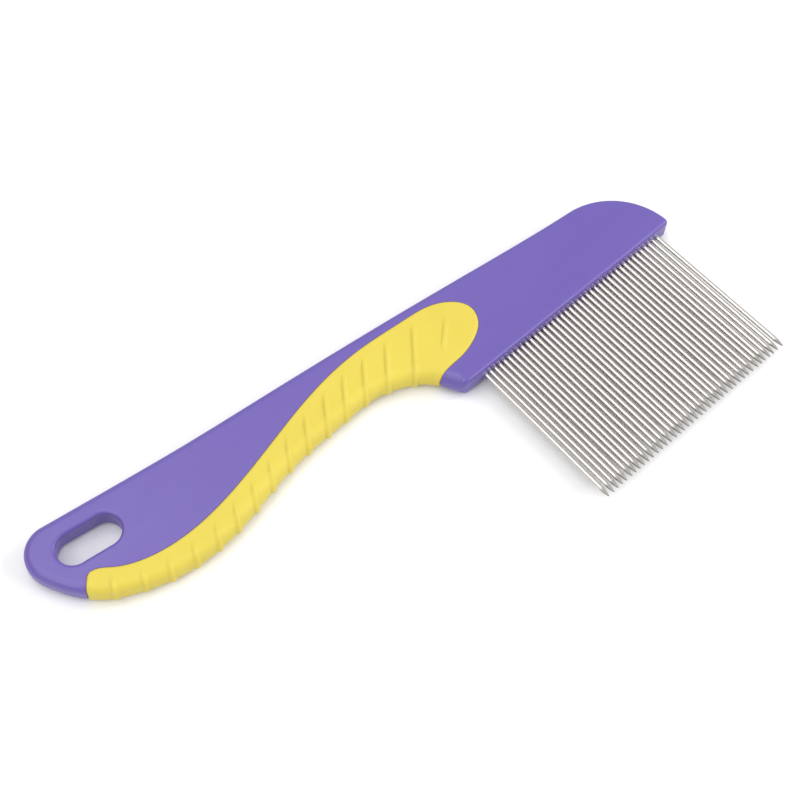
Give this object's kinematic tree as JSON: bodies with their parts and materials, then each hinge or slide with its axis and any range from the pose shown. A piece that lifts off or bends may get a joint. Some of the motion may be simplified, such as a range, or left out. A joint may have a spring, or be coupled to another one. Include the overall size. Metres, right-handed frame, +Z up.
{
  "type": "flea comb",
  "caption": "Flat pet comb with fine round steel pins in a slanted plastic head, a knife-like handle with a soft ribbed finger grip, and a hang slot.",
  "frame": {"origin": "under the middle of the bounding box, on the plane that the comb lies on", "axes": "+X along the row of pins from the hang slot to the nose of the head; -Y the way the pins point, so +Y is towards the back of the handle; +Z up through the thickness"},
  "size_m": [0.1776, 0.0806, 0.0076],
  "materials": {
    "handle_plastic": "satin moulded purple plastic",
    "grip_rubber": "matte yellow thermoplastic rubber",
    "pin_steel": "polished stainless steel"
  },
  "bodies": {
    "root": {"handle": "handle_plastic", "grip": "grip_rubber", "pin_01": "pin_steel", "pin_02": "pin_steel", "pin_03": "pin_steel", "pin_04": "pin_steel", "pin_05": "pin_steel", "pin_06": "pin_steel", "pin_07": "pin_steel", "pin_08": "pin_steel", "pin_09": "pin_steel", "pin_10": "pin_steel", "pin_11": "pin_steel", "pin_12": "pin_steel", "pin_13": "pin_steel", "pin_14": "pin_steel", "pin_15": "pin_steel", "pin_16": "pin_steel", "pin_17": "pin_steel", "pin_18": "pin_steel", "pin_19": "pin_steel", "pin_20": "pin_steel", "pin_21": "pin_steel", "pin_22": "pin_steel", "pin_23": "pin_steel", "pin_24": "pin_steel", "pin_25": "pin_steel", "pin_26": "pin_steel", "pin_27": "pin_steel", "pin_28": "pin_steel", "pin_29": "pin_steel", "pin_30": "pin_steel", "pin_31": "pin_steel", "pin_32": "pin_steel", "pin_33": "pin_steel", "pin_34": "pin_steel", "pin_35": "pin_steel", "pin_36": "pin_steel", "pin_37": "pin_steel", "pin_38": "pin_steel", "pin_39": "pin_steel", "pin_40": "pin_steel", "pin_41": "pin_steel"}
  },
  "joints": []
}
